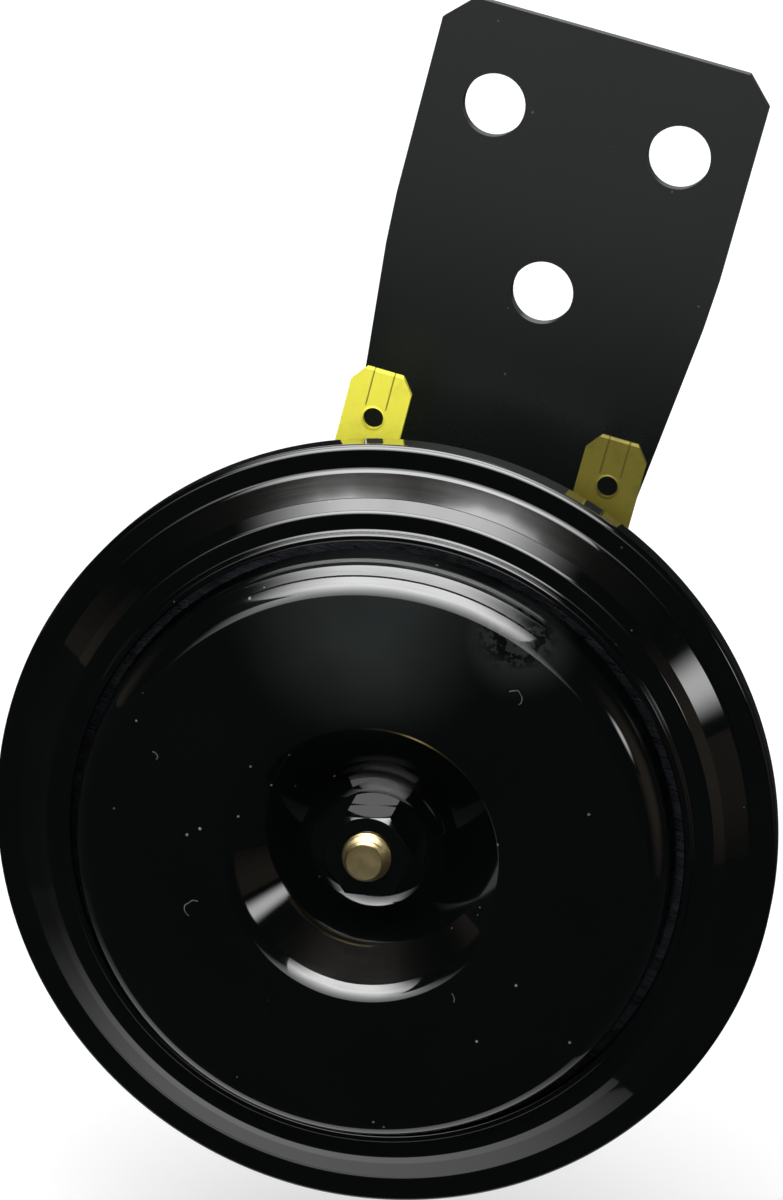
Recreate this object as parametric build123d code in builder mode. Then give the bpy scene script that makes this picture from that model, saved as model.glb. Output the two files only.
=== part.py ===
"""Electric disc horn: pressed body, dished sound disc, interrupter and flat mounting bracket.

Frame: +Z up, -Y is the front (the side that sounds), +X to the right seen from the front.
The origin is the centre of the bracket's lower bolt hole. The horn's own axis runs along Y
below it. All sizes are millimetres.
"""
from build123d import *
from math import sqrt
import os

os.makedirs("parts", exist_ok=True)

# ---------------------------------------------------------------- driving dimensions
# Places
AXIS_DROP = 54.3            # horn axis below the lower bolt hole
BODY_DEPTH = 18.0           # front of the rim flange to the back of the housing

# Bracket
BRACKET_T = 2.0
BRACKET_W = 34.0
BRACKET_TOP = 27.0          # top edge above the lower hole
BRACKET_STRAIGHT = 23.8     # length of the parallel-sided top
BRACKET_END_R = 11.5        # round end about the rear stud
BRACKET_CHAMFER = 2.7
HOLE_R = 3.2                # M6 clearance
HOLE_PAIR_UP = 17.1
HOLE_PAIR_SPACING = 19.4

# Pressed sheets
COVER_T = 0.8
HOUSING_T = 1.0
DISC_T = 0.8
GASKET_T = 0.4
DIAPHRAGM_T = 0.35

# Front cover, radii and heights ahead of the rim flange
RIM_R = 40.0
RIM_SHOULDER = 1.5
CRIMP_R = 36.6
FOOT_R = 37.5               # the flange turns up into a shallow cone
CONE_TOP = (35.0, 1.1)      # the cone turns up into the riser
CREST = (33.85, 3.0)        # the riser turns in to the flat plateau
LIP_R = 31.9                # the plateau turns up into the lip
LIP_HEIGHT = 4.05
FOOT_FILLET = 1.0
CONE_FILLET = 0.3
CREST_FILLET = 0.85
LIP_FILLET = 0.3
SHEARED_EDGE = 0.25         # rounding of the lip's cut edge

# Sound disc, radii and heights ahead of the rim flange
DISC_SKIRT = (30.3, 3.6)
DISC_SHOULDER = (29.65, 9.3)
DIMPLE_RIM = (15.4, 9.7)
DIMPLE_FLOOR_R = 6.6
DIMPLE_FLOOR = 2.8
DISC_SHOULDER_FILLET = 3.5
DIMPLE_RIM_FILLET = 6.8
DIMPLE_FLOOR_FILLET = 3.7

# Front fastening
STUD_R = 2.5                # M5
STUD_TIP = 10.2
STUD_TIP_CHAMFER = 1.0
WASHER_T = 1.0
WASHER_R = 5.3
FRONT_NUT_AF = 8.0
FRONT_NUT_H = 4.4
FRONT_NUT_TURN = 15.0       # degrees

# Magnet
HOUSING_R = 31.5
HOUSING_FILLET = 3.5
FLANGE_R = 38.5
ARMATURE_R = 10.0
ARMATURE_T = 4.45
AIR_GAP = 1.0
CORE_R = 6.5
BOBBIN_R = 16.5
BOBBIN_WALL = 1.0
BOBBIN_SINK = 1.3           # front of the bobbin behind the core's face
WINDING_R = 15.5
REAR_STUD_R = 4.0           # M8
REAR_NUT_AF = 13.0
REAR_NUT_H = 6.5
LOCK_WASHER_T = 2.0
LOCK_WASHER_R = 7.4
REAR_STUD_FREE = 2.0

# Terminals
TAB_W = 6.3
TAB_T = 0.8
TAB_X = 12.25
TAB_TOP = 44.4              # above the horn axis
TAB_END = 21.5
TAB_BACK = 7.0              # front face behind the rim flange
TAB_HOLE_R = 1.05
TAB_HOLE_DOWN = 5.0
TAB_CORNER = (1.3, 1.7)     # across and down
TAB_BEVEL = 0.25
TAB_RIVET_R = 0.8
BLOCK_HALF_W = 17.0
BLOCK_LIP = 2.0
BLOCK_T = 5.0
BLOCK_LIP_T = 1.6
BLOCK_INNER_R = 28.5

# Breaker, on the side of the housing away from the bracket
BREAKER_W = 8.0
STACK_OUT = 25.4            # middle of the riveted stack, below the horn axis
STACK_L = 4.4
BLADE_DEPTH = 7.5           # front of the blade behind the rim flange
BLADE_T = 0.3
BLADE_W = 6.0
BLADE_END = 7.2
TOP_INSULATOR_T = 0.6
INSULATOR_T = 0.8
ARM_T = 1.0
ARM_END = 18.4
CONTACT_R = 1.5
CONTACT_OUT = 20.2          # contacts and adjusting screw below the horn axis
BUTTON_R = 1.1
BUTTON_H = 1.1
BUTTON_OUT = 8.7
RIVET_R = 0.9
RIVET_HEAD_R = 1.7
RIVET_HEAD_H = 0.6
RIVET_SPACING = 4.4
ADJUST_R = 2.0              # M4
ADJUST_BOSS_R = 2.9
ADJUST_BOSS_H = 2.5
ADJUST_NUT_AF = 7.0
ADJUST_NUT_H = 3.2
ADJUST_FREE = 2.0
WIRE_R = 0.3
LEAD_R = 0.45

# ---------------------------------------------------------------- places and planes
AXIS_Z = -AXIS_DROP
BRACKET_BACK_Y = BRACKET_T / 2
HOUSING_BACK_Y = -BRACKET_T / 2
FLANGE_Y = HOUSING_BACK_Y - BODY_DEPTH

HORN_AXIS = Axis((0, 0, AXIS_Z), (0, 1, 0))
SECTION = Plane(origin=(0, 0, AXIS_Z), x_dir=(1, 0, 0), z_dir=(0, 0, 1))


def ahead(distance):
    """Y of a place in front of the rim flange."""
    return FLANGE_Y - distance


def behind(distance):
    """Y of a place behind the rim flange."""
    return FLANGE_Y + distance


def facing(y, z=AXIS_Z, x=0):
    """Plane across the horn at y: its own x is X, its own y is Z, and it faces the front."""
    return Plane(origin=(x, y, z), x_dir=(1, 0, 0), z_dir=(0, -1, 0))


def save(piece, label):
    """Label a finished piece and write it."""
    piece.part.label = label
    export_step(piece.part, f"parts/{label}.step")


def turned_ring(inner_r, outer_r, front_y, back_y, drop=0):
    """A plain ring between two depths, about an axis that lies drop below the horn axis."""
    with BuildPart() as ring:
        with BuildSketch(facing(front_y, AXIS_Z - drop)):
            Circle(outer_r)
            Circle(inner_r, mode=Mode.SUBTRACT)
        extrude(amount=front_y - back_y)
    return ring


def hexagon_nut(across_flats, height, hole_r, front_y, turn=0, drop=0):
    """A nut with the corners chamfered on both faces, about an axis drop below the horn axis."""
    corner_r = across_flats / sqrt(3)
    chamfer_h = (corner_r - across_flats / 2) * 0.6
    with BuildPart() as nut:
        with BuildSketch(facing(front_y, AXIS_Z - drop)):
            RegularPolygon(corner_r, 6, rotation=turn)
            Circle(hole_r, mode=Mode.SUBTRACT)
        extrude(amount=-height)
        with BuildSketch(Plane(origin=(0, 0, AXIS_Z - drop), x_dir=(1, 0, 0), z_dir=(0, 0, 1))):
            with BuildLine():
                Polyline(
                    (0, front_y), (across_flats / 2, front_y), (corner_r, front_y + chamfer_h),
                    (corner_r, front_y + height - chamfer_h), (across_flats / 2, front_y + height),
                    (0, front_y + height), close=True)
            make_face()
        revolve(axis=Axis((0, 0, AXIS_Z - drop), (0, 1, 0)), mode=Mode.INTERSECT)
    return nut


# ---------------------------------------------------------------- bracket
with BuildPart() as bracket:
    with BuildSketch(facing(BRACKET_BACK_Y, z=0)) as outline:
        with Locations((0, AXIS_Z)):
            Circle(BRACKET_END_R)
        with Locations((0, BRACKET_TOP - BRACKET_STRAIGHT / 2)):
            Rectangle(BRACKET_W, BRACKET_STRAIGHT)
        make_hull()
        chamfer(outline.vertices().group_by(Axis.Z)[-1], BRACKET_CHAMFER)
    extrude(amount=BRACKET_T)
    with BuildSketch(facing(BRACKET_BACK_Y, z=0)):
        with Locations((0, 0)):
            Circle(HOLE_R)
        with Locations((0, HOLE_PAIR_UP)):
            with GridLocations(HOLE_PAIR_SPACING, 0, 2, 1):
                Circle(HOLE_R)
        with Locations((0, AXIS_Z)):
            Circle(REAR_STUD_R + 0.1)
    extrude(amount=BRACKET_T, mode=Mode.SUBTRACT)
save(bracket, "bracket")

# ---------------------------------------------------------------- front cover
# A pressed ring: upturned lip, flat plateau, riser, shallow cone, flange and an edge rolled round the rim.
RIM_BACK_Y = behind(COVER_T * 2 + GASKET_T * 2 + DIAPHRAGM_T + HOUSING_T)
with BuildPart() as front_cover:
    with BuildSketch(SECTION) as cover_section:
        with BuildLine():
            FilletPolyline(
                (LIP_R, ahead(LIP_HEIGHT)), (LIP_R, ahead(CREST[1])), (CREST[0], ahead(CREST[1])),
                (CONE_TOP[0], ahead(CONE_TOP[1])), (FOOT_R, FLANGE_Y), (RIM_R, FLANGE_Y),
                (RIM_R, RIM_BACK_Y), (CRIMP_R, RIM_BACK_Y),
                radius=[LIP_FILLET, CREST_FILLET, CONE_FILLET, FOOT_FILLET, RIM_SHOULDER, 1.0])
            offset(amount=COVER_T, side=Side.LEFT)
        make_face()
        fillet(cover_section.vertices().group_by(Axis.Y)[0], SHEARED_EDGE)
    revolve(axis=HORN_AXIS)
save(front_cover, "front_cover")

# ---------------------------------------------------------------- sound disc
# A dish pressed from one sheet: flared skirt, rounded shoulder, faintly coned face and central dimple.
with BuildPart() as sound_disc:
    with BuildSketch(SECTION):
        with BuildLine():
            FilletPolyline(
                (STUD_R + 0.1, ahead(DIMPLE_FLOOR)), (DIMPLE_FLOOR_R, ahead(DIMPLE_FLOOR)),
                (DIMPLE_RIM[0], ahead(DIMPLE_RIM[1])), (DISC_SHOULDER[0], ahead(DISC_SHOULDER[1])),
                (DISC_SKIRT[0], ahead(DISC_SKIRT[1])),
                radius=[DIMPLE_FLOOR_FILLET, DIMPLE_RIM_FILLET, DISC_SHOULDER_FILLET])
            offset(amount=DISC_T, side=Side.LEFT)
        make_face()
    revolve(axis=HORN_AXIS)
save(sound_disc, "sound_disc")

# ---------------------------------------------------------------- front fastening
WASHER_FRONT_Y = ahead(DIMPLE_FLOOR + WASHER_T)
NUT_FRONT_Y = WASHER_FRONT_Y - FRONT_NUT_H
front_washer = turned_ring(STUD_R + 0.15, WASHER_R, WASHER_FRONT_Y, ahead(DIMPLE_FLOOR))
save(front_washer, "front_washer")
front_nut = hexagon_nut(FRONT_NUT_AF, FRONT_NUT_H, STUD_R, NUT_FRONT_Y, FRONT_NUT_TURN)
save(front_nut, "front_nut")

# ---------------------------------------------------------------- diaphragm stack
GASKET_FRONT_Y = behind(COVER_T)
DIAPHRAGM_FRONT_Y = GASKET_FRONT_Y + GASKET_T
DIAPHRAGM_BACK_Y = DIAPHRAGM_FRONT_Y + DIAPHRAGM_T
HOUSING_FLANGE_Y = DIAPHRAGM_BACK_Y + GASKET_T
GASKET_INNER_R = 35.0
front_gasket = turned_ring(GASKET_INNER_R + 1.5, FLANGE_R, GASKET_FRONT_Y, DIAPHRAGM_FRONT_Y)
save(front_gasket, "front_gasket")
rear_gasket = turned_ring(GASKET_INNER_R, FLANGE_R, DIAPHRAGM_BACK_Y, HOUSING_FLANGE_Y)
save(rear_gasket, "rear_gasket")

# The spring-steel diaphragm has one shallow corrugation, so that its middle can move along the axis.
CORRUGATION = 0.7
with BuildPart() as diaphragm:
    with BuildSketch(SECTION):
        with BuildLine():
            FilletPolyline(
                (STUD_R, DIAPHRAGM_FRONT_Y), (20, DIAPHRAGM_FRONT_Y), (22, DIAPHRAGM_FRONT_Y - CORRUGATION),
                (24, DIAPHRAGM_FRONT_Y - CORRUGATION), (26, DIAPHRAGM_FRONT_Y), (FLANGE_R, DIAPHRAGM_FRONT_Y),
                radius=[1.5, 1.2, 1.2, 1.5])
            offset(amount=DIAPHRAGM_T, side=Side.LEFT)
        make_face()
    revolve(axis=HORN_AXIS)
save(diaphragm, "diaphragm")

STIFFENER_R = 8.0
STIFFENER_T = 1.0
SPACER_R = 4.5
diaphragm_washer = turned_ring(STUD_R, STIFFENER_R, DIAPHRAGM_FRONT_Y - STIFFENER_T, DIAPHRAGM_FRONT_Y)
save(diaphragm_washer, "diaphragm_washer")
disc_spacer = turned_ring(STUD_R, SPACER_R, ahead(DIMPLE_FLOOR - DISC_T), DIAPHRAGM_FRONT_Y - STIFFENER_T)
save(disc_spacer, "disc_spacer")

# The armature is a steel disc with the stud's riveted head sunk flush in its back.
ARMATURE_BACK_Y = DIAPHRAGM_BACK_Y + ARMATURE_T
STUD_HEAD_R = 4.0
STUD_HEAD_T = 1.2
with BuildPart() as armature:
    with BuildSketch(facing(DIAPHRAGM_BACK_Y)):
        Circle(ARMATURE_R)
    extrude(amount=-ARMATURE_T)
    with BuildSketch(facing(DIAPHRAGM_BACK_Y)):
        Circle(STUD_R)
    extrude(amount=-ARMATURE_T, mode=Mode.SUBTRACT)
    with BuildSketch(facing(ARMATURE_BACK_Y)):
        Circle(STUD_HEAD_R)
    extrude(amount=STUD_HEAD_T, mode=Mode.SUBTRACT)
    chamfer(armature.edges().filter_by(GeomType.CIRCLE).filter_by(lambda e: e.radius == ARMATURE_R), 0.4)
save(armature, "armature")

with BuildPart() as armature_stud:
    with BuildSketch(SECTION):
        with BuildLine():
            Polyline(
                (0, ahead(STUD_TIP)), (STUD_R - STUD_TIP_CHAMFER, ahead(STUD_TIP)),
                (STUD_R, ahead(STUD_TIP - STUD_TIP_CHAMFER)), (STUD_R, ARMATURE_BACK_Y - STUD_HEAD_T),
                (STUD_HEAD_R, ARMATURE_BACK_Y - STUD_HEAD_T), (STUD_HEAD_R, ARMATURE_BACK_Y),
                (0, ARMATURE_BACK_Y), close=True)
        make_face()
    revolve(axis=HORN_AXIS)
save(armature_stud, "armature_stud")

# ---------------------------------------------------------------- housing
HOUSING_FLOOR_Y = HOUSING_BACK_Y - HOUSING_T
BLOCK_FRONT_Y = behind(TAB_BACK + TAB_T / 2) - BLOCK_T / 2
with BuildPart() as housing:
    with BuildSketch(SECTION):
        with BuildLine():
            FilletPolyline(
                (REAR_STUD_R, HOUSING_BACK_Y), (HOUSING_R, HOUSING_BACK_Y),
                (HOUSING_R, HOUSING_FLANGE_Y + HOUSING_T), (FLANGE_R, HOUSING_FLANGE_Y + HOUSING_T),
                radius=[HOUSING_FILLET, 0.8])
            offset(amount=HOUSING_T, side=Side.RIGHT)
        make_face()
    revolve(axis=HORN_AXIS)
    # window for the terminal block
    with BuildSketch(facing(BLOCK_FRONT_Y)):
        with Locations((0, HOUSING_R)):
            Rectangle(BLOCK_HALF_W * 2, HOUSING_R)
    extrude(amount=-BLOCK_T, mode=Mode.SUBTRACT)
    # holes of the adjusting screw and the breaker's two rivets
    with BuildSketch(facing(HOUSING_BACK_Y)):
        with Locations((0, -CONTACT_OUT)):
            Circle(ADJUST_R)
        with Locations((0, -STACK_OUT)):
            with GridLocations(RIVET_SPACING, 0, 2, 1):
                Circle(RIVET_R)
    extrude(amount=HOUSING_T, mode=Mode.SUBTRACT)
save(housing, "housing")

# ---------------------------------------------------------------- magnet
CORE_FRONT_Y = ARMATURE_BACK_Y + AIR_GAP
STUD_END_Y = BRACKET_BACK_Y + LOCK_WASHER_T + REAR_NUT_H + REAR_STUD_FREE
with BuildPart() as core_stud:
    with BuildSketch(SECTION):
        with BuildLine():
            Polyline(
                (0, CORE_FRONT_Y), (CORE_R, CORE_FRONT_Y), (CORE_R, HOUSING_FLOOR_Y),
                (REAR_STUD_R, HOUSING_FLOOR_Y), (REAR_STUD_R, STUD_END_Y - 0.8),
                (REAR_STUD_R - 0.8, STUD_END_Y), (0, STUD_END_Y), close=True)
        make_face()
    revolve(axis=HORN_AXIS)
save(core_stud, "core_stud")

BOBBIN_FRONT_Y = CORE_FRONT_Y + BOBBIN_SINK
with BuildPart() as coil_bobbin:
    with BuildSketch(SECTION):
        with BuildLine():
            Polyline(
                (CORE_R, BOBBIN_FRONT_Y), (BOBBIN_R, BOBBIN_FRONT_Y),
                (BOBBIN_R, BOBBIN_FRONT_Y + BOBBIN_WALL), (CORE_R + BOBBIN_WALL, BOBBIN_FRONT_Y + BOBBIN_WALL),
                (CORE_R + BOBBIN_WALL, HOUSING_FLOOR_Y - BOBBIN_WALL), (BOBBIN_R, HOUSING_FLOOR_Y - BOBBIN_WALL),
                (BOBBIN_R, HOUSING_FLOOR_Y), (CORE_R, HOUSING_FLOOR_Y), close=True)
        make_face()
    revolve(axis=HORN_AXIS)
save(coil_bobbin, "coil_bobbin")
coil_winding = turned_ring(
    CORE_R + BOBBIN_WALL, WINDING_R, BOBBIN_FRONT_Y + BOBBIN_WALL, HOUSING_FLOOR_Y - BOBBIN_WALL)
save(coil_winding, "coil_winding")

# ---------------------------------------------------------------- bracket fastening
with BuildPart() as bracket_lock_washer:
    with BuildSketch(facing(BRACKET_BACK_Y)):
        Circle(LOCK_WASHER_R)
        Circle(REAR_STUD_R + 0.1, mode=Mode.SUBTRACT)
        with Locations((0, -LOCK_WASHER_R + 1)):
            Rectangle(0.8, LOCK_WASHER_R, rotation=-20, mode=Mode.SUBTRACT)
    extrude(amount=-LOCK_WASHER_T)
save(bracket_lock_washer, "bracket_lock_washer")
bracket_nut = hexagon_nut(REAR_NUT_AF, REAR_NUT_H, REAR_STUD_R, BRACKET_BACK_Y + LOCK_WASHER_T)
save(bracket_nut, "bracket_nut")

# ---------------------------------------------------------------- terminals
with BuildPart() as terminal_block:
    with BuildSketch(facing(BLOCK_FRONT_Y)):
        Circle(HOUSING_R)
        Circle(BLOCK_INNER_R, mode=Mode.SUBTRACT)
        with Locations((0, HOUSING_R)):
            Rectangle(BLOCK_HALF_W * 2, HOUSING_R, mode=Mode.INTERSECT)
    extrude(amount=-BLOCK_T)
    with BuildSketch(facing(BLOCK_FRONT_Y - 0.8)):
        Circle(HOUSING_R + BLOCK_LIP_T)
        Circle(HOUSING_R, mode=Mode.SUBTRACT)
        with Locations((0, HOUSING_R)):
            Rectangle((BLOCK_HALF_W + BLOCK_LIP) * 2, HOUSING_R, mode=Mode.INTERSECT)
    extrude(amount=-(BLOCK_T + 1.6))
    with BuildSketch(facing(behind(TAB_BACK))):
        with Locations((-TAB_X, HOUSING_R), (TAB_X, HOUSING_R)):
            Rectangle(TAB_W, HOUSING_R)
    extrude(amount=-TAB_T, mode=Mode.SUBTRACT)
save(terminal_block, "terminal_block")

TAB_BACK_Y = behind(TAB_BACK + TAB_T)
TAB_RIVET_UP = TAB_END + 2
for label, side in (("terminal_left", -1), ("terminal_right", 1)):
    half_w = TAB_W / 2
    with BuildPart() as terminal:
        with BuildSketch(facing(behind(TAB_BACK), x=side * TAB_X)):
            with BuildLine():
                Polyline(
                    (-half_w, TAB_END), (half_w, TAB_END), (half_w, TAB_TOP - TAB_CORNER[1]),
                    (half_w - TAB_CORNER[0], TAB_TOP), (TAB_CORNER[0] - half_w, TAB_TOP),
                    (-half_w, TAB_TOP - TAB_CORNER[1]), close=True)
            make_face()
            with Locations((0, TAB_TOP - TAB_HOLE_DOWN)):
                Circle(TAB_HOLE_R, mode=Mode.SUBTRACT)
            with Locations((0, TAB_RIVET_UP)):
                Circle(TAB_RIVET_R, mode=Mode.SUBTRACT)
        extrude(amount=-TAB_T)
        # lead-in bevels on both faces of the tip
        chamfer(terminal.edges().group_by(Axis.Z)[-1].filter_by(Axis.X), TAB_BEVEL)
    save(terminal, label)

# ---------------------------------------------------------------- wiring
EYELET_T = 0.9
EYELET_R = 1.7


def lead_eyelet(side):
    """Ring tongue of a lead, flat on the back of one terminal."""
    with BuildSketch(facing(TAB_BACK_Y, x=side * TAB_X)) as tongue:
        with Locations((0, TAB_RIVET_UP)):
            Circle(EYELET_R)
            Circle(TAB_RIVET_R, mode=Mode.SUBTRACT)
    extrude(tongue.sketch, amount=-EYELET_T)


def wire_along(path, radius):
    """Round wire swept along a path."""
    with BuildSketch(Plane(origin=path @ 0, z_dir=path % 0)) as section:
        Circle(radius)
    sweep(section.sketch, path=path)


with BuildPart() as terminal_rivets:
    for side in (-1, 1):
        with BuildSketch(facing(behind(TAB_BACK), x=side * TAB_X)):
            with Locations((0, TAB_RIVET_UP)):
                Circle(TAB_RIVET_R)
        extrude(amount=-(TAB_T + EYELET_T))
        for head_y, head_h in ((behind(TAB_BACK), 0.4), (TAB_BACK_Y + EYELET_T, -0.4)):
            with BuildSketch(facing(head_y, x=side * TAB_X)):
                with Locations((0, TAB_RIVET_UP)):
                    Circle(TAB_RIVET_R * 1.6)
            extrude(amount=head_h)
save(terminal_rivets, "terminal_rivets")

# The coil's start runs from the right terminal into the winding, between the bobbin's flanges.
LEAD_Y = TAB_BACK_Y + EYELET_T + LEAD_R - 0.1
COIL_ENTRY_Y = BOBBIN_FRONT_Y + BOBBIN_WALL + 1.2
with BuildPart() as coil_start_lead:
    lead_eyelet(1)
    with BuildLine(Plane.YZ.offset(TAB_X)) as route:
        FilletPolyline(
            (LEAD_Y, AXIS_Z + TAB_RIVET_UP - 1.45), (LEAD_Y, AXIS_Z + TAB_END - 2.5),
            (COIL_ENTRY_Y, AXIS_Z + TAB_END - 5), (COIL_ENTRY_Y, AXIS_Z + sqrt(WINDING_R**2 - TAB_X**2) - 0.2),
            radius=2)
    wire_along(route.wires()[0], LEAD_R)
save(coil_start_lead, "coil_start_lead")

# The breaker's lead runs from the left terminal round the coil to the fixed arm.
LEAD_ARC_R = sqrt(TAB_X**2 + TAB_RIVET_UP**2)
ARM_FRONT_Y = behind(BLADE_DEPTH + BLADE_T + INSULATOR_T)
with BuildPart() as breaker_lead:
    lead_eyelet(-1)
    start = Vector(-TAB_X - 1.3, LEAD_Y, AXIS_Z + sqrt(LEAD_ARC_R**2 - (TAB_X + 1.3)**2))
    end = Vector(0.3 - BREAKER_W / 2, LEAD_Y, AXIS_Z - sqrt(LEAD_ARC_R**2 - (BREAKER_W / 2 - 0.3)**2))
    with BuildLine() as route:
        ThreePointArc(start, (-LEAD_ARC_R, LEAD_Y, AXIS_Z), end)
    wire_along(route.wires()[0], LEAD_R)
save(breaker_lead, "breaker_lead")

# ---------------------------------------------------------------- breaker
# A stack riveted to the housing's floor: post, insulator, fixed arm, insulator, spring blade, insulator.
BLADE_FRONT_Y = behind(BLADE_DEPTH)
BLADE_BACK_Y = BLADE_FRONT_Y + BLADE_T
ARM_BACK_Y = ARM_FRONT_Y + ARM_T
POST_FRONT_Y = ARM_BACK_Y + INSULATOR_T
STACK_FRONT_Y = BLADE_FRONT_Y - TOP_INSULATOR_T
STACK_IN = STACK_OUT - STACK_L / 2
STACK_END = STACK_OUT + STACK_L / 2


def strip(width, near, far, front_y, thickness):
    """Flat strip below the horn axis, from near to far, with the two rivet holes of the stack."""
    with BuildSketch(facing(front_y)) as flat:
        with Locations((0, -(near + far) / 2)):
            Rectangle(width, far - near)
        with Locations((0, -STACK_OUT)):
            with GridLocations(RIVET_SPACING, 0, 2, 1):
                Circle(RIVET_R, mode=Mode.SUBTRACT)
    extrude(flat.sketch, amount=-thickness)


with BuildPart() as breaker_post:
    strip(BREAKER_W, STACK_IN, STACK_END, POST_FRONT_Y, HOUSING_FLOOR_Y - POST_FRONT_Y)
save(breaker_post, "breaker_post")

with BuildPart() as breaker_insulators:
    strip(BREAKER_W, STACK_IN, STACK_END, ARM_BACK_Y, INSULATOR_T)
    strip(BREAKER_W, STACK_IN, STACK_END, BLADE_BACK_Y, INSULATOR_T)
    strip(BREAKER_W, STACK_IN, STACK_END, STACK_FRONT_Y, TOP_INSULATOR_T)
save(breaker_insulators, "breaker_insulators")

with BuildPart() as breaker_arm:
    strip(BREAKER_W, ARM_END, STACK_END, ARM_FRONT_Y, ARM_T)
save(breaker_arm, "breaker_arm")

# The blade tapers over the coil; an ear at its root takes the coil's end.
EAR_X = BREAKER_W / 2 + 1.3
with BuildPart() as breaker_blade:
    with BuildSketch(facing(BLADE_FRONT_Y)):
        with BuildLine():
            Polyline(
                (-BLADE_W / 2, -STACK_END), (EAR_X, -STACK_END), (EAR_X, -STACK_IN), (BLADE_W / 2, -STACK_IN),
                (BLADE_W / 2, -CONTACT_OUT), (BUTTON_R + 0.4, -BLADE_END), (-BUTTON_R - 0.4, -BLADE_END),
                (-BLADE_W / 2, -CONTACT_OUT), close=True)
        make_face()
        with Locations((0, -STACK_OUT)):
            with GridLocations(RIVET_SPACING, 0, 2, 1):
                Circle(RIVET_R, mode=Mode.SUBTRACT)
    extrude(amount=-BLADE_T)
save(breaker_blade, "breaker_blade")

breaker_button = turned_ring(0.4, BUTTON_R, BLADE_FRONT_Y - BUTTON_H, BLADE_FRONT_Y, drop=BUTTON_OUT)
save(breaker_button, "breaker_button")

# Two contacts face to face, one on the blade and one on the arm.
CONTACT_T = INSULATOR_T / 2
for label, front_y in (("moving_contact", BLADE_BACK_Y), ("fixed_contact", BLADE_BACK_Y + CONTACT_T)):
    with BuildPart() as contact:
        with BuildSketch(facing(front_y, AXIS_Z - CONTACT_OUT)):
            Circle(CONTACT_R)
        extrude(amount=-CONTACT_T)
    save(contact, label)

with BuildPart() as breaker_rivets:
    for x in (-RIVET_SPACING / 2, RIVET_SPACING / 2):
        rivet_z = AXIS_Z - STACK_OUT
        with BuildSketch(facing(STACK_FRONT_Y, rivet_z, x)):
            Circle(RIVET_R)
        extrude(amount=STACK_FRONT_Y - HOUSING_BACK_Y)
        for head_y, head_h in ((STACK_FRONT_Y, RIVET_HEAD_H), (HOUSING_BACK_Y, -RIVET_HEAD_H)):
            with BuildSketch(facing(head_y, rivet_z, x)):
                Circle(RIVET_HEAD_R)
            extrude(amount=head_h, taper=25)
save(breaker_rivets, "breaker_rivets")

# The coil's end runs from the winding, past the bobbin's flange, to the ear of the blade.
WIRE_X = EAR_X - WIRE_R - 0.1
WIRE_END_Y = BLADE_BACK_Y + WIRE_R
with BuildPart() as coil_end_lead:
    with BuildLine(Plane.YZ.offset(WIRE_X)) as route:
        FilletPolyline(
            (COIL_ENTRY_Y, AXIS_Z - sqrt(WINDING_R**2 - WIRE_X**2) + 0.2), (COIL_ENTRY_Y, AXIS_Z - ARM_END),
            (WIRE_END_Y, AXIS_Z - STACK_IN + 0.8), (WIRE_END_Y, AXIS_Z - STACK_END), radius=1.5)
    wire_along(route.wires()[0], WIRE_R)
save(coil_end_lead, "coil_end_lead")

# ---------------------------------------------------------------- adjusting screw
ADJUST_END_Y = HOUSING_BACK_Y + ADJUST_NUT_H + ADJUST_FREE
adjusting_boss = turned_ring(
    ADJUST_R, ADJUST_BOSS_R, HOUSING_FLOOR_Y - ADJUST_BOSS_H, HOUSING_FLOOR_Y, drop=CONTACT_OUT)
save(adjusting_boss, "adjusting_boss")
adjusting_lock_nut = hexagon_nut(ADJUST_NUT_AF, ADJUST_NUT_H, ADJUST_R, HOUSING_BACK_Y, drop=CONTACT_OUT)
save(adjusting_lock_nut, "adjusting_lock_nut")
with BuildPart() as adjusting_screw:
    with BuildSketch(facing(ARM_BACK_Y, AXIS_Z - CONTACT_OUT)):
        Circle(ADJUST_R)
    extrude(amount=ARM_BACK_Y - ADJUST_END_Y)
    chamfer(adjusting_screw.edges().group_by(Axis.Y)[0], 0.9)
    chamfer(adjusting_screw.edges().group_by(Axis.Y)[-1], 0.4)
    with BuildSketch(facing(ADJUST_END_Y, AXIS_Z - CONTACT_OUT)):
        Rectangle(ADJUST_R * 2, 0.8, rotation=35)
    extrude(amount=1.2, mode=Mode.SUBTRACT)
save(adjusting_screw, "adjusting_screw")
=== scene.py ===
# %% [markdown]
# # A disc horn, dressed for its portrait
# This file is a lesson in finishing a technical part in Blender. The solids of the horn were made
# in a CAD program and arrive as a fixed frame: every solid is an object whose place is already in
# its mesh. We may give them materials and add pieces, but we never move them. The frame is in
# metres, with +Z up along the bracket and -Y towards the side that sounds.

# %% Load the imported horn
import math
import bmesh
import bpy
from mathutils import Matrix, Vector


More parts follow.
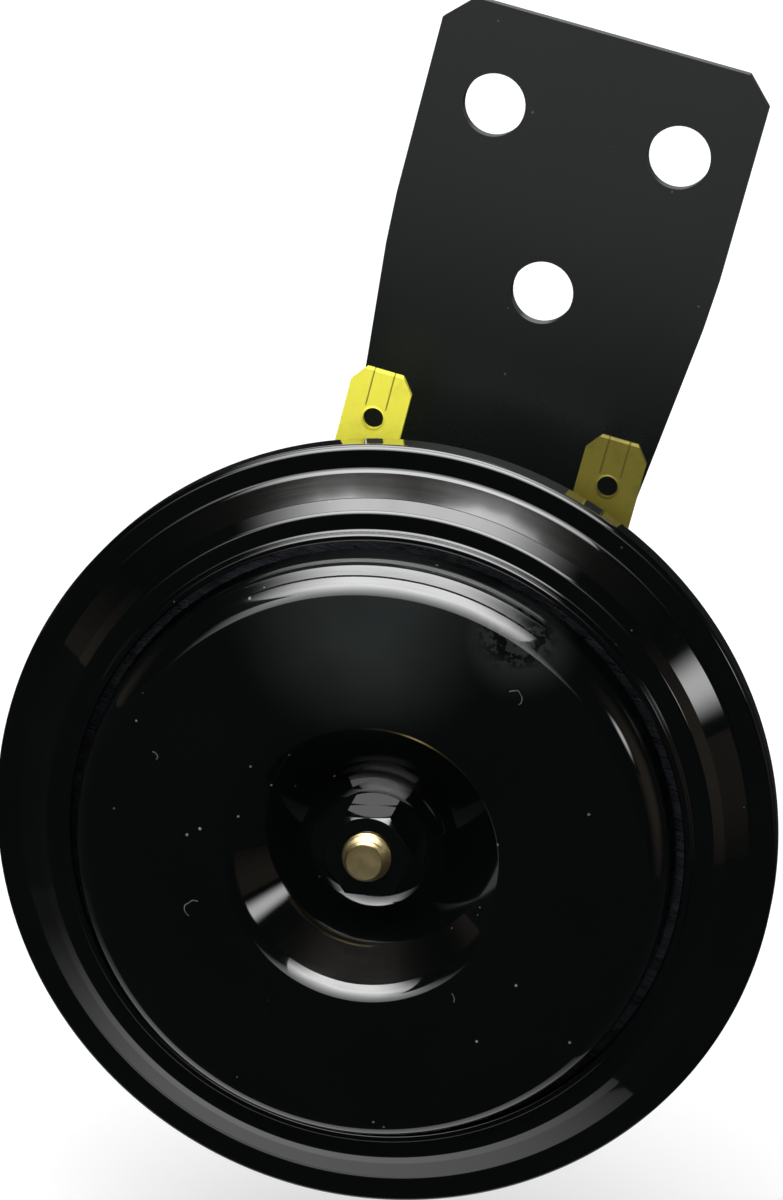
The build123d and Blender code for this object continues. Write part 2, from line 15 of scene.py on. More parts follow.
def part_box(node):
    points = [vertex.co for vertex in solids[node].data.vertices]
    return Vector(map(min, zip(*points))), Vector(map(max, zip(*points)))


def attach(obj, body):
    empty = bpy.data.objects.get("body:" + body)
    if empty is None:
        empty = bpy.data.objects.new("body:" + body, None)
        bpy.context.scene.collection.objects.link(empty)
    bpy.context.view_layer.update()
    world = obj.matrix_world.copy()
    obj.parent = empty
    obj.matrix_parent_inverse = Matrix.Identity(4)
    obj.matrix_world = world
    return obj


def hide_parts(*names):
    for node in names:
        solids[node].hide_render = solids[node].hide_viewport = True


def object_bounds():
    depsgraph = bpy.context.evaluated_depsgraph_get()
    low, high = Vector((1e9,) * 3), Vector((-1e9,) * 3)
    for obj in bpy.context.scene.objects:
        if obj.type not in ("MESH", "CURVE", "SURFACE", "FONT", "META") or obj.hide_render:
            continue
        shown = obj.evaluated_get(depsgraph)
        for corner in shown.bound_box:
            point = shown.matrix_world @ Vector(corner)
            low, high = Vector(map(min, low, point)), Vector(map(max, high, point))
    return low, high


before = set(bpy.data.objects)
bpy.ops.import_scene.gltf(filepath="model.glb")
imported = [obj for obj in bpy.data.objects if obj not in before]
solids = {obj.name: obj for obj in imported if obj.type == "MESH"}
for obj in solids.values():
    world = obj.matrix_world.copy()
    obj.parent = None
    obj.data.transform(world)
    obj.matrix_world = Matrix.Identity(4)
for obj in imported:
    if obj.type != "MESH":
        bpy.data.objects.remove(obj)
cad_box = [list(corner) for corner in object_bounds()]
MM = 0.001
HORN_Z = -54.3 * MM           # height of the horn's own axis, which runs along Y
MERGE = 0.002 * MM            # points nearer than this are one


def linked(name, data):
    made = bpy.data.objects.new(name, data)
    bpy.context.scene.collection.objects.link(made)
    return made


print("solids:", len(solids), "box in mm:", [[round(v / MM, 1) for v in c] for c in cad_box])

# %% [markdown]
# ## The camera
# A small product is often held close and looked at slightly from above. A camera could be aimed
# with a Track To constraint, but a portrait with a tilted horizon is easier to state as three
# directions: where the lens stands, what is up in the picture and what points back at the lens.
# A long lens, 80 mm on a 24 mm high sensor, keeps the round rim from bulging.

# %% Camera
lens = bpy.data.cameras.new("portrait_lens")
lens.sensor_fit = "VERTICAL"
lens.sensor_height = 24
lens.lens = 80
lens.clip_start = 0.01
lens.clip_end = 20
portrait = linked("portrait_camera", lens)
LENS_PLACE = (0.02924, -0.40068, 0.07891)
BACK_AT_LENS = Vector((0.0860, -0.9577, 0.2746)).normalized()
ROUGHLY_UP = Vector((-0.2833, 0.2407, 0.9283))
side = ROUGHLY_UP.cross(BACK_AT_LENS).normalized()
turn = Matrix((side, BACK_AT_LENS.cross(side), BACK_AT_LENS)).transposed().to_4x4()
portrait.matrix_world = Matrix.Translation(LENS_PLACE) @ turn
bpy.context.scene.camera = portrait
bpy.context.scene.view_settings.view_transform = "Standard"
print("camera stands", round(portrait.location.length, 3), "m from the bolt hole")

# %% [markdown]
# ## Small helpers for node materials
# Every finish below is a node tree. Writing the same three lines for each node hides the idea of a
# material, so helpers add a node with its values, join sockets, do sums and make soft steps.

# %% Node helpers
def node(tree, kind, values=None, **settings):
    made = tree.nodes.new(kind)
    for name, value in settings.items():
        setattr(made, name, value)
    for socket, value in (values or {}).items():
        made.inputs[socket].default_value = value
    return made


def join(*pairs):
    for source, target in pairs:
        source.id_data.links.new(source, target)


def math_node(operation, *values, clamp=False):
    """A sum of numbers and sockets, in the tree that the sockets belong to."""
    tree = next(value.id_data for value in values if not isinstance(value, (int, float)))
    made = node(tree, "ShaderNodeMath", operation=operation, use_clamp=clamp)
    for slot, value in zip(made.inputs, values):
        if isinstance(value, (int, float)):
            slot.default_value = value
        else:
            tree.links.new(value, slot)
    return made.outputs[0]


def times(a, b, clamp=False):
    return math_node("MULTIPLY", a, b, clamp=clamp)


def plus(a, b, clamp=False):
    return math_node("ADD", a, b, clamp=clamp)


def less(a, b):
    return math_node("SUBTRACT", a, b)


def times_plus(a, b, c, clamp=False):
    return math_node("MULTIPLY_ADD", a, b, c, clamp=clamp)


def step_up(value, low, high):
    made = node(value.id_data, "ShaderNodeMapRange", {"From Min": low, "From Max": high},
                interpolation_type="SMOOTHSTEP")
    join((value, made.inputs["Value"]))
    return made.outputs["Result"]


def step_down(value, low, high):
    return less(1.0, step_up(value, low, high))


def length_of(a, b):
    return math_node("SQRT", plus(times(a, a), times(b, b)))


def spread(points, *places):
    """Give the same point to the Vector socket of several nodes."""
    join(*((points, target.inputs["Vector"]) for target in places))


FLOAT, VECTOR = "NodeSocketFloat", "NodeSocketVector"


def shader_group(name, outputs, **inputs):
    """Inputs have their first value: a number, three numbers or None for a vector."""
    tree = bpy.data.node_groups.new(name, "ShaderNodeTree")
    for label, value in inputs.items():
        kind = FLOAT if isinstance(value, float) else VECTOR
        socket = tree.interface.new_socket(label.replace("_", " "), in_out="INPUT", socket_type=kind)
        if value is not None:
            socket.default_value = value
    for label in outputs:
        kind = VECTOR if label == "Vector" else FLOAT
        tree.interface.new_socket(label, in_out="OUTPUT", socket_type=kind)
    return tree, tree.nodes.new("NodeGroupInput").outputs, tree.nodes.new("NodeGroupOutput").inputs


print("helpers ready")

# %% [markdown]
# ## Shared effect: fine scratches
# A handled part carries hair scratches. They could be drawn as thin meshes, but a pattern costs
# nothing: a Voronoi texture stretched a hundred times along one direction turns each of its small
# cell centres into a thin line. Three layers at different angles avoid a combed look. The group
# gives one mask, which a material feeds to its colour, its roughness or its bump. Only faces that
# look along the horn's axis are scratched, because hands and tools reach those.

# %% Scratches group
def scratch_layer(tree, points, angle, cell, stretch, width):
    aligned = node(tree, "ShaderNodeVectorRotate", {"Axis": (0, 1, 0), "Angle": math.radians(angle)},
                   rotation_type="AXIS_ANGLE")
    scaled = node(tree, "ShaderNodeVectorMath", {1: (1 / (cell * stretch), 0.0, 1 / cell)},
                  operation="MULTIPLY")
    cells = node(tree, "ShaderNodeTexVoronoi", {"Scale": 1.0})
    join((points, aligned.inputs["Vector"]), (aligned.outputs["Vector"], scaled.inputs[0]),
         (scaled.outputs[0], cells.inputs["Vector"]))
    parts = node(tree, "ShaderNodeSeparateColor")
    join((cells.outputs["Color"], parts.inputs["Color"]))
    reach = times(math_node("POWER", parts.outputs[0], 3.0), width)
    gap = less(reach, cells.outputs["Distance"])
    return times(step_up(gap, 0.0, width * 0.3), parts.outputs[1])


scratches, group_in, group_out = shader_group("hair_scratches", ["Mask"], Vector=None, Amount=1.0)
# angle in degrees, cell in mm, stretch along the scratch, width as a part of the cell
SCRATCH_LAYERS = ((6, 0.9, 60, 0.10), (-21, 1.6, 45, 0.08), (68, 2.2, 40, 0.06))
total = 0.0
for angle, cell, stretch, width in SCRATCH_LAYERS:
    layer = scratch_layer(scratches, group_in["Vector"], angle, cell * MM, stretch, width)
    total = plus(layer, total, clamp=True)
way = node(scratches, "ShaderNodeSeparateXYZ")
join((scratches.nodes.new("ShaderNodeNewGeometry").outputs["Normal"], way.inputs[0]))
facing = step_up(math_node("ABSOLUTE", way.outputs["Y"]), 0.80, 0.97)
join((times(times(total, facing), group_in["Amount"], clamp=True), group_out["Mask"]))
print("scratch layers:", len(SCRATCH_LAYERS))

# %% [markdown]
# ## Shared effect: dust
# Dust shows on gloss black as pale specks of very unequal size. A Voronoi texture again gives a
# point in every cell; a random number of the cell, raised to a high power, sets how big its speck
# is, so most cells stay clean. A soft noise says where dust gathers.

# %% Dust group
dust, group_in, group_out = shader_group("dust_specks", ["Mask"], Vector=None, Cell=900.0, Amount=1.0)
cells = node(dust, "ShaderNodeTexVoronoi")
parts = node(dust, "ShaderNodeSeparateColor")
drift = node(dust, "ShaderNodeTexNoise", {"Scale": 60.0})
join((group_in["Cell"], cells.inputs["Scale"]), (cells.outputs["Color"], parts.inputs["Color"]))
ragged = node(dust, "ShaderNodeTexNoise", {"Scale": 6000.0})
spread(group_in["Vector"], cells, drift, ragged)
size = times(math_node("POWER", parts.outputs[0], 16.0), 0.16)
torn = times_plus(ragged.outputs[0], -0.10, plus(size, 0.05))
speck = step_up(less(torn, cells.outputs["Distance"]), 0.0, 0.03)
lying = step_up(drift.outputs[0], 0.42, 0.60)
join((times(times(speck, lying), group_in["Amount"], clamp=True), group_out["Mask"]))
print("dust group:", len(dust.nodes), "nodes")

# %% [markdown]
# ## Shared effect: places around the horn's axis
# Pressing, turning and wiping leave marks that run around a round part. This group changes a point
# into how far it is from the axis and how far round it is, measured in metres along a 25 mm
# circle, so that a stretched pattern follows the circle.

# %% Around-the-axis group
UNROLLED_R = 25 * MM
around, group_in, group_out = shader_group("around_the_axis", ["Vector"], Vector=None)
split = node(around, "ShaderNodeSeparateXYZ")
pack = node(around, "ShaderNodeCombineXYZ")
join((group_in["Vector"], split.inputs[0]))
rise = less(split.outputs["Z"], HORN_Z)
turn_angle = math_node("ARCTAN2", split.outputs["X"], rise)
join((times(turn_angle, UNROLLED_R), pack.inputs["X"]), (split.outputs["Y"], pack.inputs["Y"]),
     (length_of(split.outputs["X"], rise), pack.inputs["Z"]), (pack.outputs[0], group_out["Vector"]))
print("around-the-axis group ready")

# %% [markdown]
# ## Shared effect: uneven surface
# No paint film or rolled metal is perfectly even. One group gives a slow waviness and a fine
# grain, each made from a noise texture with its own size.

# %% Uneven surface group
uneven, group_in, group_out = shader_group("uneven_surface", ["Wave", "Grain"], Vector=None,
                                           Wave_Scale=150.0, Grain_Scale=4000.0)
wave = node(uneven, "ShaderNodeTexNoise", {"Roughness": 0.45})
grain = node(uneven, "ShaderNodeTexNoise", {"Detail": 4.0, "Roughness": 0.6})
spread(group_in["Vector"], wave, grain)
join((group_in["Wave Scale"], wave.inputs["Scale"]), (group_in["Grain Scale"], grain.inputs["Scale"]),
     (wave.outputs[0], group_out["Wave"]), (grain.outputs[0], group_out["Grain"]))
print("uneven surface group ready")

# %% [markdown]
# ## Shared effect: a curled fibre
# A hair of lint is a thin curved line. Its distance from a circle's edge gives the line, the angle
# round the circle says where it starts and stops, and a noise bends it so that it is not drawn
# with a compass. The disc wears a few of them.

# %% Fibre group
SWAY = 0.45 * MM              # how far the noise bends a fibre to each side
fibre, group_in, group_out = shader_group("curled_fibre", ["Mask"], Vector=None, Middle=(0, 0, 0),
                                          Radius=0.7 * MM, From=-1.0, To=1.0)
shaken = node(fibre, "ShaderNodeTexNoise", {"Scale": 900.0, "Detail": 1.0})
offset = node(fibre, "ShaderNodeVectorMath", operation="SUBTRACT")
split = node(fibre, "ShaderNodeSeparateXYZ")
join((group_in["Vector"], shaken.inputs["Vector"]), (group_in["Vector"], offset.inputs[0]),
     (group_in["Middle"], offset.inputs[1]), (offset.outputs[0], split.inputs[0]))
across, upright = split.outputs["X"], split.outputs["Z"]
bent = times_plus(shaken.outputs[0], 2 * SWAY, length_of(across, upright))
edge = math_node("ABSOLUTE", less(less(bent, SWAY), group_in["Radius"]))
line = step_down(edge, 0.01 * MM, 0.06 * MM)
bearing = math_node("ARCTAN2", across, upright)
kept = times(math_node("GREATER_THAN", bearing, group_in["From"]),
             math_node("LESS_THAN", bearing, group_in["To"]))
join((times(line, kept), group_out["Mask"]))
# middle of the curl, its radius in mm, and where it starts and stops in radians
FIBRES = ((Vector((-15.2, 0, -64.3)) * MM, 0.9, -2.8, 0.2), (Vector((10.0, 0, -33.8)) * MM, 0.7, -1.0, 2.4),
          (Vector((-22.9, 0, -50.4)) * MM, 0.5, -0.5, 2.0), (Vector((11.6, 0, -65.6)) * MM, 0.6, 0.4, 1.9),
          (Vector((12.0, 0, -17.5)) * MM, 0.7, 1.2, 3.0))
print("fibres:", len(FIBRES))

# %% [markdown]
# ## Starting a finish
# Each finish starts the same way: a Principled shader, the object's own coordinates, and the
# groups placed in it. The helper returns the tree and the shader, and the finish adds the rest.

# %% Finish helper
def place(tree, group, **values):
    made = tree.nodes.new("ShaderNodeGroup")
    made.node_tree = group
    for name, value in values.items():
        made.inputs[name.replace("_", " ")].default_value = value
    return made


def begin(name, **constants):
    finish = bpy.data.materials.new(name)
    finish.use_nodes = True
    tree = finish.node_tree
    shader = tree.nodes["Principled BSDF"]
    for socket, value in constants.items():
        shader.inputs[socket.replace("_", " ")].default_value = value
    points = tree.nodes.new("ShaderNodeTexCoord").outputs["Object"]
    return finish, tree, shader, points


def blend_colours(amount, first, second):
    made = node(amount.id_data, "ShaderNodeMix", data_type="RGBA")
    join((amount, made.inputs[0]))
    for socket, value in ((made.inputs[6], first), (made.inputs[7], second)):
        if isinstance(value, tuple):
            socket.default_value = (*value, 1.0)
        else:
            join((value, socket))
    return made.outputs[2]


def bump(shader, height, distance):
    made = node(height.id_data, "ShaderNodeBump", {"Strength": 1.0, "Distance": distance})
    join((height, made.inputs["Height"]), (made.outputs[0], shader.inputs["Normal"]))


def used_by(finish, *names):
    for name in names:
        solids[name].data.materials[0] = finish
    print(finish.name, "on", ", ".join(names))

# %% [markdown]
# ## Gloss black enamel
# The rim, the disc, the can, the nut and its washer are dipped in black stoving enamel. It is a
# black base under a clear, very smooth skin. A single low roughness would look like black glass;
# here a clear coat gives the sharp reflection and the base under it a slightly softer one, so that
# bright bands keep a faint glow at their edges. Slow waviness, wiping marks that run round the
# axis, hair scratches and dust break it up.

# %% Enamel
LINT_TONE, SCUFF_TONE = (0.34, 0.34, 0.31), (0.30, 0.31, 0.30)
# Grey of the painted reflection high on the disc, and of the scratches painted brighter inside it as a
# painted glint.
SHEEN_TONE, SCRATCH_AND_GLINT_TONE = (0.27, 0.31, 0.30), (0.30, 0.33, 0.32)
# Middle of the painted reflection, and of a real smudge that also widens it.
SHEEN_MIDDLE = Vector((-6.5, -28.0, -29.5)) * MM
SMUDGE_AND_SHEEN_MIDDLE = Vector((8.4, -28.0, -27.2)) * MM


def near(points, middle, inner, outer):
    off = node(points.id_data, "ShaderNodeVectorMath", {1: middle}, operation="DISTANCE")
    join((points, off.inputs[0]))
    return step_down(off.outputs["Value"], inner * MM, outer * MM)


def add_painted_sheen(tree, points, below, scratched, strength):
    """A grey film painted high on the disc as a painted reflection of the light above, with a real clean
    smudge in it and scratches painted brighter inside it as a painted glint.
    """
    cloud = node(tree, "ShaderNodeTexNoise", {"Scale": 160.0, "Detail": 4.0, "Roughness": 0.6})
    torn = node(tree, "ShaderNodeTexNoise", {"Scale": 900.0, "Detail": 3.0, "Roughness": 0.7})
    spread(points, cloud, torn)
    # This mask is a painted reflection of the light above: grey round its middle and widened round the
    # smudge, with the real clean smudge cut out of it. Scratches inside it are painted brighter, a painted
    # glint.
    painted_sheen = times(near(points, SHEEN_MIDDLE, 3, 15), times_plus(cloud.outputs[0], 0.9, 0.55))
    painted_sheen = math_node("MAXIMUM", painted_sheen, near(points, SMUDGE_AND_SHEEN_MIDDLE, 2.0, 7.5))
    smudge = times(near(points, SMUDGE_AND_SHEEN_MIDDLE, 2.5, 5.0), step_up(torn.outputs[0], 0.46, 0.52))
    painted_sheen = times(painted_sheen, less(1.0, smudge))
    lines = times(scratched, times_plus(painted_sheen, 0.9, 0.1))
    painted_sheen = times(painted_sheen, 0.062 * strength)
    paint_and_painted_light = blend_colours(painted_sheen, below, SHEEN_TONE)
    return blend_colours(times(lines, 0.45), paint_and_painted_light, SCRATCH_AND_GLINT_TONE)


def enamel(name, dust_amount, wiped, sheen_and_fibres=0.0):
    """wiped: how much rougher the wiping marks are; sheen_and_fibres: 1 for a face that gets the painted
    reflection high on it and the fibres.
    """
    finish, tree, shader, points = begin(name, IOR=1.58, Coat_Weight=1.0, Coat_Roughness=0.03,
                                         Coat_IOR=1.55)
    rough = place(tree, uneven, Wave_Scale=90.0, Grain_Scale=2500.0)
    marks = place(tree, scratches)
    specks = place(tree, dust, Cell=900.0, Amount=dust_amount)
    polar = place(tree, around)
    wipes = node(tree, "ShaderNodeTexNoise", {"Scale": 1.0, "Detail": 5.0, "Roughness": 0.7})
    drawn_out = node(tree, "ShaderNodeVectorMath", {1: (60.0, 60.0, 3200.0)}, operation="MULTIPLY")
    spread(points, rough, marks, specks, polar)
    join((polar.outputs["Vector"], drawn_out.inputs[0]), (drawn_out.outputs[0], wipes.inputs["Vector"]))
    paint_and_painted_light = blend_colours(rough.outputs["Wave"], (0.0010, 0.0013, 0.0014), (0.0019, 0.0023, 0.0024))
    scuffed_and_sheen = blend_colours(times(marks.outputs["Mask"], 0.04), paint_and_painted_light, SCUFF_TONE)
    # The disc gets a painted reflection: a grey film painted high on its face for the light above.
    if sheen_and_fibres:
        scuffed_and_sheen = add_painted_sheen(tree, points, scuffed_and_sheen, marks.outputs["Mask"], sheen_and_fibres)
    lint = specks.outputs["Mask"]
    for middle, size, first, last in FIBRES if sheen_and_fibres else ():
        curl = place(tree, fibre, Middle=middle, Radius=size * MM, From=first, To=last)
        spread(points, curl)
        lint = math_node("MAXIMUM", lint, times(curl.outputs["Mask"], 0.4))
    dust_and_sheen = blend_colours(lint, scuffed_and_sheen, LINT_TONE)
    join((dust_and_sheen, shader.inputs["Base Color"]))
    wipe = step_up(wipes.outputs[0], 0.40, 0.75)
    softness = times_plus(wipe, wiped, 0.06)
    softness = times_plus(marks.outputs["Mask"], 0.15, softness, clamp=True)
    skin = times_plus(marks.outputs["Mask"], 0.30, 0.03)
    join((softness, shader.inputs["Roughness"]), (skin, shader.inputs["Coat Roughness"]))
    height = times_plus(marks.outputs["Mask"], -0.25, rough.outputs["Wave"])
    height = times_plus(specks.outputs["Mask"], 1.2, height)
    bump(shader, height, 0.012 * MM)
    return finish


disc_enamel = enamel("disc_enamel", 0.7, 0.03, sheen_and_fibres=1.0)
rim_enamel = enamel("rim_enamel", 0.7, 0.03)
nut_enamel = enamel("nut_enamel", 0.5, 0.10)
used_by(disc_enamel, "sound_disc")
used_by(rim_enamel, "front_cover", "housing")
used_by(nut_enamel, "front_nut", "front_washer")

# %% [markdown]
# ## Satin black paint
# The bracket is a flat steel strip with a thin, duller coat. It spreads a light into a wide soft
# patch. The same groups are used with other values: more scratches and a fine grain. The upper
# part, round the bolt holes, is rougher, and its paint is painted paler there as painted light, so
# it stays darker low, near the horn, as painted shade.

# %% Bracket paint
UPPER_FROM, UPPER_TO = -16 * MM, 12 * MM
SCRATCH_TONE, SPECK_TONE = (0.36, 0.37, 0.35), (0.25, 0.26, 0.25)
TOP_LIGHT_TONE = (0.0110, 0.0140, 0.0130)
paint, tree, shader, points = begin("satin_paint", IOR=1.5, Specular_IOR_Level=0.31)
rough = place(tree, uneven, Wave_Scale=45.0, Grain_Scale=5200.0)
marks = place(tree, scratches)
specks = place(tree, dust, Cell=700.0, Amount=0.35)
height_up = node(tree, "ShaderNodeSeparateXYZ")
spread(points, rough, marks, specks, height_up)
paint_and_painted_light = blend_colours(rough.outputs["Wave"], (0.0022, 0.0034, 0.0034), (0.0050, 0.0068, 0.0066))
# Painted light: the colour is painted paler towards the top and so stays darker low near the horn, as
# painted shade.
upper_part = step_up(height_up.outputs["Z"], UPPER_FROM, UPPER_TO)
paint_and_painted_light = blend_colours(times(upper_part, 0.5), paint_and_painted_light, TOP_LIGHT_TONE)
scratched_and_top_light = blend_colours(times(marks.outputs["Mask"], 0.45), paint_and_painted_light, SCRATCH_TONE)
join((blend_colours(specks.outputs["Mask"], scratched_and_top_light, SPECK_TONE), shader.inputs["Base Color"]))
dull = times_plus(rough.outputs["Wave"], 0.12, 0.17)
dull = times_plus(upper_part, 0.17, dull)
dull = times_plus(rough.outputs["Grain"], 0.06, dull)
join((dull, shader.inputs["Roughness"]))
relief = times_plus(marks.outputs["Mask"], -0.8, rough.outputs["Grain"])
bump(shader, relief, 0.004 * MM)
used_by(paint, "bracket")

# %% [markdown]
# ## Brass spade terminals
# The two tabs are blanked from rolled brass strip, so their grain runs along the tab, and a guide
# line each side of the hole is scored up to the tip. The left one is bright and the right one is
# painted dark olive as painted shade: one function makes both, with its own colours. The scored
# lines and the raised burr round the hole are small enough to be a height that only bends the light.

# %% Brass
TAB_X, TAB_HOLE_Z, TAB_HOLE_R, SCORE_X = 12.25 * MM, -14.9 * MM, 1.05 * MM, 1.05 * MM
SCORE_TONE = (0.10, 0.075, 0.015)


def strip_brass(name, centre_x, bright, dull, roughness, tarnish, metallic):
    finish, tree, shader, points = begin(name, Metallic=metallic)
    rolled = node(tree, "ShaderNodeMapping", {"Scale": (9000.0, 2500.0, 320.0)})
    streaks = node(tree, "ShaderNodeTexNoise", {"Scale": 1.0, "Detail": 3.0})
    blotch = node(tree, "ShaderNodeTexNoise", {"Scale": 420.0, "Detail": 5.0, "Roughness": 0.65})
    marks = place(tree, scratches)
    split = node(tree, "ShaderNodeSeparateXYZ")
    spread(points, rolled, blotch, marks, split)
    spread(rolled.outputs[0], streaks)
    across = math_node("ABSOLUTE", less(split.outputs["X"], centre_x))
    beside = math_node("ABSOLUTE", less(across, SCORE_X))
    above = step_up(split.outputs["Z"], TAB_HOLE_Z + 0.9 * MM, TAB_HOLE_Z + 1.3 * MM)
    wobble = times(blotch.outputs[0], 0.05 * MM)
    line = step_down(plus(beside, wobble), 0.06 * MM, 0.12 * MM)
    score = times(line, above)
    drop = less(split.outputs["Z"], TAB_HOLE_Z)
    burr = step_down(length_of(across, drop), TAB_HOLE_R + 0.02 * MM, TAB_HOLE_R + 0.22 * MM)
    stain = times(step_up(blotch.outputs[0], 0.48, 0.72), tarnish)
    metal = blend_colours(stain, bright, dull)
    metal = blend_colours(times(streaks.outputs[0], 0.25), metal, dull)
    dark = math_node("MAXIMUM", times(score, 0.75), times(marks.outputs["Mask"], 0.30))
    join((blend_colours(dark, metal, SCORE_TONE), shader.inputs["Base Color"]))
    matt = times_plus(streaks.outputs[0], 0.10, roughness - 0.05)
    join((times_plus(stain, 0.08, matt), shader.inputs["Roughness"]))
    height = times_plus(streaks.outputs[0], 0.12, burr)
    height = times_plus(score, -1.0, height)
    height = times_plus(blotch.outputs[0], 0.25, height)
    bump(shader, height, 0.05 * MM)
    return finish


# The right tab is a painted-shade copy of the left one: the same brass, painted far darker.
lit_tab = strip_brass("lit_brass", -TAB_X, (0.95, 0.90, 0.07), (0.74, 0.66, 0.05), 0.50, 0.5, 0.25)
shaded_tab = strip_brass("shaded_brass", TAB_X, (0.17, 0.145, 0.012), (0.11, 0.09, 0.009), 0.42, 0.8, 0.4)
used_by(lit_tab, "terminal_left", "terminal_rivets")
used_by(shaded_tab, "terminal_right")

# %% [markdown]
# ## Plated and bare steel
# Studs, nuts and inner iron differ in colour and in the marks of their making, but not in how they
# are built up: turned or drawn lines, a blotchy plating and a little dirt. One function with a few
# values covers them all.

# %% Steel finishes
GRIME_TONE = (0.05, 0.045, 0.03)


def steel(name, light, dark, roughness, line_scale=(900.0, 9000.0, 900.0), dirt=0.3, depth=0.006):
    finish, tree, shader, points = begin(name, Metallic=1.0)
    drawn = node(tree, "ShaderNodeMapping", {"Scale": line_scale})
    lines = node(tree, "ShaderNodeTexNoise", {"Scale": 1.0, "Detail": 3.0})
    rough = place(tree, uneven, Wave_Scale=700.0, Grain_Scale=6000.0)
    spread(points, drawn, rough)
    spread(drawn.outputs[0], lines)
    plating = blend_colours(step_up(rough.outputs["Wave"], 0.35, 0.68), light, dark)
    grime = times(step_up(rough.outputs["Grain"], 0.55, 0.75), dirt)
    join((blend_colours(grime, plating, GRIME_TONE), shader.inputs["Base Color"]))
    matt = times_plus(lines.outputs[0], 0.16, roughness - 0.08)
    join((times_plus(grime, 0.3, matt, clamp=True), shader.inputs["Roughness"]))
    height = times_plus(rough.outputs["Grain"], 0.6, lines.outputs[0])
    bump(shader, height, depth * MM)
    return finish


yellow_zinc = steel("yellow_zinc", (0.80, 0.64, 0.32), (0.62, 0.50, 0.26), 0.34)
grey_zinc = steel("grey_zinc", (0.66, 0.67, 0.68), (0.50, 0.52, 0.55), 0.34)
plain_steel = steel("plain_steel", (0.46, 0.45, 0.44), (0.33, 0.32, 0.31), 0.42)
spring_steel = steel("spring_steel", (0.34, 0.37, 0.44), (0.25, 0.25, 0.30), 0.28,
                     line_scale=(300.0, 300.0, 9000.0))
copper_wire = steel("copper_wire", (0.78, 0.30, 0.12), (0.55, 0.17, 0.06), 0.26,
                    line_scale=(500.0, 3200.0, 500.0), dirt=0.15, depth=0.02)
used_by(yellow_zinc, "armature_stud")
used_by(grey_zinc, "core_stud", "bracket_nut", "bracket_lock_washer", "adjusting_screw",
        "adjusting_lock_nut", "adjusting_boss", "breaker_rivets", "breaker_post", "breaker_arm")
used_by(plain_steel, "armature", "diaphragm_washer", "disc_spacer", "fixed_contact", "moving_contact")
used_by(spring_steel, "diaphragm", "breaker_blade")
used_by(copper_wire, "coil_winding", "coil_start_lead", "coil_end_lead", "breaker_lead")

# %% [markdown]
# ## Mouldings, fibre and gaskets
# The terminal block and the bobbin are moulded plastic, the insulators are pressed red fibre and
# the gaskets oiled paper. None of them is metal, so they share a function that mixes two colours
# with a grain and raises it a little.

# %% Non-metals
def soft_stuff(name, light, dark, roughness, wave_scale, grain_scale, depth):
    finish, tree, shader, points = begin(name, IOR=1.48)
    rough = place(tree, uneven, Wave_Scale=wave_scale, Grain_Scale=grain_scale)
    specks = place(tree, dust, Cell=800.0, Amount=0.4)
    spread(points, rough, specks)
    mixed = times_plus(rough.outputs["Grain"], 0.5, times(rough.outputs["Wave"], 0.5))
    body = blend_colours(step_up(mixed, 0.38, 0.62), light, dark)
    join((blend_colours(specks.outputs["Mask"], body, (0.42, 0.41, 0.38)), shader.inputs["Base Color"]))
    matt = times_plus(rough.outputs["Grain"], 0.2, roughness - 0.1)
    join((matt, shader.inputs["Roughness"]))
    bump(shader, rough.outputs["Grain"], depth * MM)
    return finish


moulding = soft_stuff("black_moulding", (0.020, 0.020, 0.021), (0.012, 0.012, 0.013), 0.45, 200.0, 3500.0,
                      0.02)
board = soft_stuff("pressed_fibre", (0.36, 0.12, 0.05), (0.22, 0.06, 0.025), 0.6, 900.0, 5000.0, 0.03)
paper = soft_stuff("gasket_paper", (0.26, 0.22, 0.16), (0.17, 0.14, 0.10), 0.7, 600.0, 3000.0, 0.03)
used_by(moulding, "terminal_block", "coil_bobbin")
used_by(board, "breaker_insulators", "breaker_button")
used_by(paper, "front_gasket", "rear_gasket")

# %% [markdown]
# ## Turning a sheet on a lathe
# Gloss enamel shows every facet: a reflection that crosses a fillet breaks up where the CAD mesh
# steps from one flat to the next. So the two pressed parts that face us are turned again, from
# corner points and radii close to those of the solids but with many more steps. The dimple's wall
# and the ring's cone differ from the solids by some tenths of a millimetre. A profile is walked
# from the middle outwards; each point remembers which way the surface faces there, and those
# exact directions become the mesh's normals, which keeps flats flat and arcs round.

# %% Lathe
def rounded(corners, radii, per_step=5.0):
    """Points (radius, height, facing) along a line whose inner corners are rounded."""
    path = []
    for index, (here, radius) in enumerate(zip(corners, [0.0] + radii + [0.0])):
        before, after = corners[max(index - 1, 0)], corners[min(index + 1, len(corners) - 1)]
        arrive = math.atan2(here[1] - before[1], here[0] - before[0])
        leave = math.atan2(after[1] - here[1], after[0] - here[0])
        if index in (0, len(corners) - 1) or radius == 0:
            facing_angle = (leave if index == 0 else arrive) + math.pi / 2
            path.append((*here, facing_angle))
            continue
        bend = (leave - arrive + math.pi) % math.tau - math.pi
        run = radius * math.tan(abs(bend) / 2)
        start = (here[0] - run * math.cos(arrive), here[1] - run * math.sin(arrive))
        reach = -radius if bend < 0 else radius
        centre = (start[0] + reach * math.cos(arrive + math.pi / 2),
                  start[1] + reach * math.sin(arrive + math.pi / 2))
        steps = max(2, round(abs(math.degrees(bend)) / per_step))
        for step in range(steps + 1):
            facing_angle = arrive + math.pi / 2 + bend * step / steps
            path.append((centre[0] - reach * math.cos(facing_angle),
                         centre[1] - reach * math.sin(facing_angle), facing_angle))
    return path


